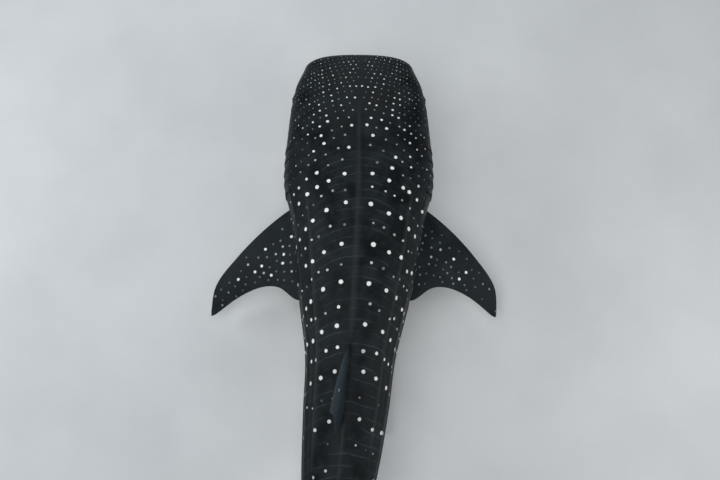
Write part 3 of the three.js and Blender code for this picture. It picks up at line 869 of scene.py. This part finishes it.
def markSkin(mesh):
    marks = skinMarks
    co = readVectors(mesh.vertices, "co")
    normals = readVectors(mesh.vertex_normals, "vector")
    along, side, up = unplace(co)
    across, upwards = sectionShare(along, side, up)
    turn = np.arctan2(across, upwards * np.sign(up))
    outside = outsideBody(co)
    onFin = ease((outside - marks["finFrom"]) / marks["finOver"])
    # the pale belly starts below the mouth on the head and at an angle behind it
    line = mouthLine(along)
    chin = (line - up) / marks["chin"][0] - marks["chin"][1]
    belly = (np.degrees(turn) - bellyAngle(along)) / marks["bellyFade"]
    behind = ease((along - marks["chinTo"][0]) / marks["chinTo"][1])
    belly = np.clip(chin + (belly - chin) * behind, -3, 3)
    paired = (onFin > 0.5) & (up < 0) & (along < marks["pairedTo"])
    underside = np.clip(-normals[:, 2] * marks["under"][0] - marks["under"][1], -3, 2)
    belly = np.where(paired, underside, np.where(onFin > 0.5, -3, belly))
    belly -= 4 * ease((along - marks["darkTail"][0]) / marks["darkTail"][1])
    writeFloats(mesh, "bellyShare", belly)
    straight = along - patternAt("sweep", along) * np.minimum(side, 0.11) ** 2
    rows = np.interp(straight, rowPlaces, np.arange(len(rowPlaces)))
    writeFloats(mesh, "rowPlace", rows)
    lines = (1 - onFin) * ease((along - marks["linesFrom"][0]) / marks["linesFrom"][1])
    lines *= 1 - 0.5 * ease((along - marks["linesFade"][0]) / marks["linesFade"][1])
    writeFloats(mesh, "lineShare", lines)
    # painted highlight: the skin is lightened along the ridge crests, where light catches them
    ridgeHighlight = np.zeros(len(co))
    for ridge in ridges.values():
        ridgeHighlight = np.maximum(ridgeHighlight, ridgeShare(ridge, along, turn))
    writeFloats(mesh, "ridgeShare", ridgeHighlight * (1 - onFin))
    # painted light: the fins are made lighter and bluer as if lit, the first dorsal more towards its top
    dorsal = (up > 0) & (along < marks["pairedTo"])
    finLitAmount = np.where(dorsal, ease(outside / marks["dorsalOver"]), marks["otherFins"] * onFin)
    writeFloats(mesh, "finLitShare", finLitAmount)
    shares = np.stack([along, side, up], 1)
    # painted shade: the skin is darkened in the mouth slit, the gill slits, the spiracles, the nostrils
    # and the hollow round the eye, where shade falls
    creaseShade = ease((mouth["corner"] - along) / mouth["fade"]) * bell(up - line, 1.15 * mouth["slit"])
    unbowed = along - gillBow(along, turn)
    for slit in gills["slits"]:
        dark = bell(unbowed - slit - marks["slitShade"][0], marks["slitShade"][1])
        creaseShade = np.maximum(creaseShade, gillBand(along, turn) * dark)
    for hole in (spiracle, nostril):
        creaseShade = np.maximum(creaseShade, bell(roundAway(shares, hole), 0.75 * hole["radius"]))
    eyeHollowShade = marks["eyeShade"][0] * bell(roundAway(shares, eye), marks["eyeShade"][1])
    writeFloats(mesh, "creaseShadeShare", np.maximum(creaseShade, eyeHollowShade))


markSkin(joinedMesh)
markSpots(joinedMesh)
joinedMesh.shade_smooth()
print("skin marked")


# shader helpers
def addNode(tree, kind, **values):
    node = tree.nodes.new(kind)
    for name, value in values.items():
        setattr(node, name, value)
    return node


def mathNode(tree, operation, first, second=None, third=None, clamp=False):
    node = addNode(tree, "ShaderNodeMath", operation=operation, use_clamp=clamp)
    for socket, value in zip(node.inputs, (first, second, third)):
        if value is None:
            continue
        if isinstance(value, (int, float)):
            socket.default_value = value
        else:
            tree.links.new(value, socket)
    return node.outputs[0]


def smoothRange(tree, value, low, high, toLow=0.0, toHigh=1.0):
    node = addNode(tree, "ShaderNodeMapRange", interpolation_type="SMOOTHSTEP")
    tree.links.new(value, node.inputs["Value"])
    for name, number in (("From Min", low), ("From Max", high), ("To Min", toLow), ("To Max", toHigh)):
        node.inputs[name].default_value = number
    return node.outputs["Result"]


def mixColour(tree, factor, first, second):
    node = addNode(tree, "ShaderNodeMix", data_type="RGBA")
    sockets = (node.inputs[0], node.inputs[6], node.inputs[7])
    for socket, value in zip(sockets, (factor, first, second)):
        if isinstance(value, (int, float)):
            socket.default_value = value
        elif isinstance(value, tuple):
            socket.default_value = (*value, 1)
        else:
            tree.links.new(value, socket)
    return node.outputs[2]


def noise(tree, vector, scale, detail=3, roughness=0.55):
    node = addNode(tree, "ShaderNodeTexNoise")
    tree.links.new(vector, node.inputs["Vector"])
    node.inputs["Scale"].default_value = scale
    node.inputs["Detail"].default_value = detail
    node.inputs["Roughness"].default_value = roughness
    return node.outputs["Fac"]


def attribute(tree, name, output="Fac"):
    return addNode(tree, "ShaderNodeAttribute", attribute_name=name).outputs[output]


def groupOf(name, inputs, outputs, fill):
    tree = bpy.data.node_groups.new(name, "ShaderNodeTree")
    for label, kind in inputs:
        tree.interface.new_socket(label, in_out="INPUT", socket_type="NodeSocket" + kind)
    for label, kind in outputs:
        tree.interface.new_socket(label, in_out="OUTPUT", socket_type="NodeSocket" + kind)
    given, out = tree.nodes.new("NodeGroupInput"), tree.nodes.new("NodeGroupOutput")
    for label, socket in fill(tree, given.outputs).items():
        tree.links.new(socket, out.inputs[label])
    return tree


def useGroup(tree, group, **values):
    node = addNode(tree, "ShaderNodeGroup", node_tree=group)
    for name, value in values.items():
        if isinstance(value, (int, float)):
            node.inputs[name].default_value = value
        else:
            tree.links.new(value, node.inputs[name])
    return node.outputs


# a crisp round mark with a slightly ragged edge about a centre held by the face
def fillSpot(tree, given):
    wobble = noise(tree, given["Vector"], 55, 2, 0.5)
    offset = addNode(tree, "ShaderNodeVectorMath", operation="DISTANCE")
    tree.links.new(given["Vector"], offset.inputs[0])
    tree.links.new(given["Centre"], offset.inputs[1])
    size = mathNode(tree, "MAXIMUM", given["Size"], 0.0001)
    share = mathNode(tree, "DIVIDE", offset.outputs["Value"], size)
    ragged = mathNode(tree, "MULTIPLY_ADD", wobble, 0.5, -0.25)
    inside = smoothRange(tree, mathNode(tree, "ADD", share, ragged), 0.78, 1.12, 1.0, 0.0)
    present = mathNode(tree, "GREATER_THAN", given["Size"], 0.001)
    return {"Mask": mathNode(tree, "MULTIPLY", inside, present)}


spotGroup = groupOf(
    "spotMask",
    [("Vector", "Vector"), ("Centre", "Vector"), ("Size", "Float")],
    [("Mask", "Float")],
    fillSpot,
)


# thin broken lines halfway between whole numbers of a row value
def fillLines(tree, given):
    wander = mathNode(tree, "MULTIPLY_ADD", noise(tree, given["Vector"], 3.2), 0.9, -0.45)
    part = mathNode(tree, "FRACT", mathNode(tree, "MULTIPLY_ADD", given["Row"], 2.0, wander))
    away = mathNode(tree, "ABSOLUTE", mathNode(tree, "SUBTRACT", part, 0.5))
    line = smoothRange(tree, away, 0.015, 0.07, 1.0, 0.0)
    broken = smoothRange(tree, noise(tree, given["Vector"], 5.5, 2), 0.38, 0.66)
    return {"Mask": mathNode(tree, "MULTIPLY", line, broken)}


lineGroup = groupOf(
    "rowLines", [("Vector", "Vector"), ("Row", "Float")], [("Mask", "Float")], fillLines
)


# skin grain: fine denticles over soft creases
def fillGrain(tree, given):
    cells = addNode(tree, "ShaderNodeTexVoronoi", feature="F1")
    tree.links.new(given["Vector"], cells.inputs["Vector"])
    tree.links.new(given["Scale"], cells.inputs["Scale"])
    fine = mathNode(tree, "MULTIPLY", cells.outputs["Distance"], 0.35)
    soft = noise(tree, given["Vector"], 26, 5, 0.6)
    height = mathNode(tree, "ADD", fine, soft)
    return {"Height": height, "Value": noise(tree, given["Vector"], 5.5, 6, 0.62)}


grainGroup = groupOf(
    "surfaceGrain",
    [("Vector", "Vector"), ("Scale", "Float")],
    [("Height", "Float"), ("Value", "Float")],
    fillGrain,
)


def newMaterial(name):
    material = bpy.data.materials.new(name)
    material.use_nodes = True
    tree = material.node_tree
    shader = tree.nodes["Principled BSDF"]
    vector = addNode(tree, "ShaderNodeTexCoord").outputs["Object"]
    return material, tree, shader, vector


skinLook = {
    "dark": (0.0022, 0.0038, 0.0047),
    "slate": (0.0115, 0.0172, 0.0205),
    # lighter, bluer colour painted on the fins as if lit
    "finLitSlate": (0.032, 0.049, 0.06),
    # pale colour of the row lines, also used for the painted highlight along the ridge crests
    "line": (0.062, 0.066, 0.066),
    "ridgeHighlightStrength": 0.2,
    "lineStrength": 0.45,
    "belly": (0.62, 0.6, 0.54),
    "bellyMottle": (0.36, 0.36, 0.34),
    "mottleStrength": 0.35,
    "bellyEdge": (-0.7, 0.9),
    "spot": (0.9, 0.92, 0.9),
    # colour and strength of the painted shade in the slits, holes and eye hollow
    "creaseShade": (0.003, 0.003, 0.004),
    "creaseShadeStrength": 0.92,
    "roughness": (0.42, 0.62),
    "specular": 0.13,
    "grain": 160.0,
    "bump": (0.45, 0.004),
}


def finishFrom(tree, shader, grain, roughness, bumpBy=None):
    value = smoothRange(tree, grain["Value"], 0.3, 0.7, *roughness)
    tree.links.new(value, shader.inputs["Roughness"])
    if bumpBy:
        bump = addNode(tree, "ShaderNodeBump")
        bump.inputs["Strength"].default_value, bump.inputs["Distance"].default_value = bumpBy
        tree.links.new(grain["Height"], bump.inputs["Height"])
        tree.links.new(bump.outputs["Normal"], shader.inputs["Normal"])


def scaled(tree, value, factor):
    return mathNode(tree, "MULTIPLY", value, factor)


def skinMaterial():
    look = skinLook
    material, tree, shader, vector = newMaterial("sharkSkin")
    grain = useGroup(tree, grainGroup, Vector=vector, Scale=look["grain"])
    mottle = smoothRange(tree, grain["Value"], 0.35, 0.7)
    back = mixColour(tree, mottle, look["dark"], look["slate"])
    # painted light: the fins are mixed towards a lighter, bluer colour as if lit
    back = mixColour(tree, attribute(tree, "finLitShare"), back, look["finLitSlate"])
    # painted highlight along the ridge crests
    ridgeHighlight = scaled(tree, attribute(tree, "ridgeShare"), look["ridgeHighlightStrength"])
    back = mixColour(tree, ridgeHighlight, back, look["line"])
    lines = useGroup(tree, lineGroup, Vector=vector, Row=attribute(tree, "rowPlace"))["Mask"]
    lines = mathNode(tree, "MULTIPLY", lines, attribute(tree, "lineShare"))
    back = mixColour(tree, scaled(tree, lines, look["lineStrength"]), back, look["line"])
    centre, size = attribute(tree, "spotCentre", "Vector"), attribute(tree, "spotSize")
    spots = useGroup(tree, spotGroup, Vector=vector, Centre=centre, Size=size)["Mask"]
    glow = mathNode(tree, "MULTIPLY", spots, attribute(tree, "spotGlow"))
    back = mixColour(tree, glow, back, look["spot"])
    edge = mathNode(tree, "MULTIPLY_ADD", noise(tree, vector, 9, 4), 2.4, -1.2)
    edge = mathNode(tree, "ADD", attribute(tree, "bellyShare"), edge)
    bellyMottle = scaled(tree, mottle, look["mottleStrength"])
    bellyColour = mixColour(tree, bellyMottle, look["belly"], look["bellyMottle"])
    whole = mixColour(tree, smoothRange(tree, edge, *look["bellyEdge"]), back, bellyColour)
    # painted shade in the mouth slit, gill slits, holes and eye hollow
    creaseShade = scaled(tree, attribute(tree, "creaseShadeShare"), look["creaseShadeStrength"])
    whole = mixColour(tree, creaseShade, whole, look["creaseShade"])
    tree.links.new(whole, shader.inputs["Base Color"])
    shader.inputs["Specular IOR Level"].default_value = look["specular"]
    finishFrom(tree, shader, grain, look["roughness"], look["bump"])
    return material


joinedMesh.materials.clear()
joinedMesh.materials.append(skinMaterial())
fleshNodes = [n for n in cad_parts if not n.startswith(("stand_", "eye_"))]
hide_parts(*fleshNodes)
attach(skin, "root")
print("skin done")

eyeLook = {
    "pupil": (0.002, 0.002, 0.003),
    "iris": (0.022, 0.019, 0.013),
    "irisLight": (0.045, 0.041, 0.032),
    "white": (0.008, 0.009, 0.01),
    "pupilEdge": (0.3, 0.36),  # radians from the middle of the pupil
    "irisEdge": (0.62, 0.74),
    "roughness": (0.05, 0.12),
    "coat": 0.35,
    "coatRoughness": 0.03,
    "cornea": (0.045, 0.5),
    "shrink": 0.985,
    "segments": 56,
    "rings": 40,
}


def eyeMaterial():
    look = eyeLook
    material, tree, shader, vector = newMaterial("sharkEye")
    grain = useGroup(tree, grainGroup, Vector=vector, Scale=420.0)
    turn, mottle = attribute(tree, "axisTurn"), smoothRange(tree, grain["Value"], 0.3, 0.7)
    iris = mixColour(tree, mottle, look["iris"], look["irisLight"])
    colour = mixColour(tree, smoothRange(tree, turn, *look["pupilEdge"]), look["pupil"], iris)
    colour = mixColour(tree, smoothRange(tree, turn, *look["irisEdge"]), colour, look["white"])
    tree.links.new(colour, shader.inputs["Base Color"])
    finishFrom(tree, shader, grain, look["roughness"])
    shader.inputs["Coat Weight"].default_value = look["coat"]
    shader.inputs["Coat Roughness"].default_value = look["coatRoughness"]
    return material


def buildEye(name, side, material):
    angle = np.array([side * math.radians(eye["angle"])])
    along = np.array([eye["along"]])
    normal = bodyNormal(along, angle)[0][[1, 0, 2]]
    centre = place(plainBody(along, angle))[0] - normal * eye["sunk"]
    turnTo = Vector((0, 0, 1)).rotation_difference(Vector(normal)).to_matrix()
    rings, segments = eyeLook["rings"], eyeLook["segments"]
    down = np.repeat(np.linspace(0.02, math.pi - 0.02, rings), segments)
    around = np.tile(np.linspace(0, 2 * math.pi, segments, endpoint=False), rings)
    local = np.stack([np.sin(down) * np.cos(around), np.sin(down) * np.sin(around), np.cos(down)], 1)
    local *= (1 + eyeLook["cornea"][0] * bell(down, eyeLook["cornea"][1]))[:, None]
    points = local @ np.array(turnTo).T * (eye["radius"] * eyeLook["shrink"]) + centre
    points = points.reshape(rings, segments, 3)
    made = meshFrom(name + "Ball", *loft(points, points[0].mean(0), points[-1].mean(0)))
    faceOutwards(made)
    writeFloats(made.data, "axisTurn", np.concatenate([[0], down, [math.pi]]))
    made.data.shade_smooth()
    made.data.materials.append(material)
    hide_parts("eye_left" if side > 0 else "eye_right")
    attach(made, "root")


eyeSurface = eyeMaterial()
for side, label in ((1, "left"), (-1, "right")):
    buildEye(label, side, eyeSurface)
print("eyes done")

standLook = {
    "plate": {
        "colours": ((0.3, 0.31, 0.325), (0.36, 0.37, 0.385)),
        "metallic": 0.0,
        "roughness": (0.38, 0.5),
        "grain": 300.0,
        "stretch": (1, 1, 1),
    },
    "rod": {
        "colours": ((0.5, 0.52, 0.53), (0.33, 0.35, 0.36)),
        "metallic": 1.0,
        "roughness": (0.24, 0.38),
        "grain": 90.0,
        "stretch": (30, 30, 1),
    },
    "bump": (0.12, 0.001),
}


def standMaterial(name, look):
    material, tree, shader, vector = newMaterial(name)
    mapping = addNode(tree, "ShaderNodeMapping", vector_type="POINT")
    mapping.inputs["Scale"].default_value = look["stretch"]
    tree.links.new(vector, mapping.inputs["Vector"])
    grain = useGroup(tree, grainGroup, Vector=mapping.outputs["Vector"], Scale=look["grain"])
    mottle = smoothRange(tree, grain["Value"], 0.35, 0.68)
    tree.links.new(mixColour(tree, mottle, *look["colours"]), shader.inputs["Base Color"])
    shader.inputs["Metallic"].default_value = look["metallic"]
    finishFrom(tree, shader, grain, look["roughness"], standLook["bump"])
    return material


plateSurface = standMaterial("standPlate", standLook["plate"])
rodSurface = standMaterial("standRod", standLook["rod"])
for name, surface, slotName in (
    ("stand_base", plateSurface, "stand_plate"),
    ("stand_rod_front", rodSurface, "stand_rod"),
    ("stand_rod_rear", rodSurface, "stand_rod"),
):
    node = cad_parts[name]
    node.data.materials.clear()
    node.data.materials.append(surface)
print("stand done")


floorLook = {"half": 30, "colours": ((0.62, 0.64, 0.65), (0.68, 0.7, 0.71)), "roughness": 0.8}


def floorMaterial():
    material, tree, shader, vector = newMaterial("paleFloor")
    mottle = smoothRange(tree, noise(tree, vector, 0.8, 6), 0.3, 0.7)
    tree.links.new(mixColour(tree, mottle, *floorLook["colours"]), shader.inputs["Base Color"])
    shader.inputs["Roughness"].default_value = floorLook["roughness"]
    return material


corners = ((-1, -1), (1, -1), (1, 1), (-1, 1))
floorPoints = [(x * floorLook["half"], y * floorLook["half"], 0) for x, y in corners]
floorPiece = meshFrom("floor", floorPoints, [(0, 1, 2, 3)])
floorPiece.data.materials.append(floorMaterial())

# place, aim, size, watts and tint
lights = {
    "overhead": ((1.5, 2.0, 9.5), (0, 0.3, 0.6), 6.0, 360, (1, 1, 1)),
    "left": ((6.5, -2.0, 4.5), (0, 0, 0.8), 4.0, 170, (0.93, 0.97, 1)),
    "right": ((-6.5, 1.0, 4.0), (0, 0, 0.8), 4.0, 140, (1, 0.98, 0.95)),
    "front": ((0, -8.5, 4.5), (0, -1.5, 0.7), 4.0, 140, (0.95, 0.98, 1)),
}
skyLook = {"tint": (0.86, 0.92, 1.0), "strength": 0.26}


def aimed(at, aim):
    way = Vector(aim) - Vector(at)
    turn = way.to_track_quat("-Z", "Y").to_matrix().to_4x4()
    return Matrix.Translation(at) @ turn


for name, (at, aim, size, power, tint) in lights.items():
    lamp = bpy.data.lights.new(name, "AREA")
    lamp.shape = "DISK"
    lamp.size = size
    lamp.energy = power
    lamp.color = tint
    holder = bpy.data.objects.new(name, lamp)
    holder.matrix_world = aimed(at, aim)
    bpy.context.scene.collection.objects.link(holder)

world = bpy.data.worlds.new("studio")
bpy.context.scene.world = world
world.use_nodes = True
sky = world.node_tree.nodes["Background"]
sky.inputs["Color"].default_value = (*skyLook["tint"], 1)
sky.inputs["Strength"].default_value = skyLook["strength"]
print("floor and lights set")

# turns in radians, focal length in pixels of a picture 720 wide
cameraPlan = {
    "at": (0.082, 1.642, 8.0),
    "pitch": -0.2964,
    "yaw": 0.0124,
    "roll": -0.0057,
    "focal": 894.0,
}
shot = bpy.data.cameras.new("shot")
shot.sensor_width = 36.0
shot.lens = cameraPlan["focal"] * 36.0 / 720.0
cameraPiece = bpy.data.objects.new("shot", shot)
level = Matrix(((-1, 0, 0), (0, -1, 0), (0, 0, 1)))
turned = (
    Matrix.Rotation(cameraPlan["roll"], 3, "Z")
    @ Matrix.Rotation(cameraPlan["yaw"], 3, "Y")
    @ Matrix.Rotation(cameraPlan["pitch"], 3, "X")
    @ level
)
cameraPiece.matrix_world = Matrix.Translation(cameraPlan["at"]) @ turned.transposed().to_4x4()
bpy.context.scene.collection.objects.link(cameraPiece)
bpy.context.scene.camera = cameraPiece
bpy.context.scene.view_settings.view_transform = "Standard"
print("camera set")
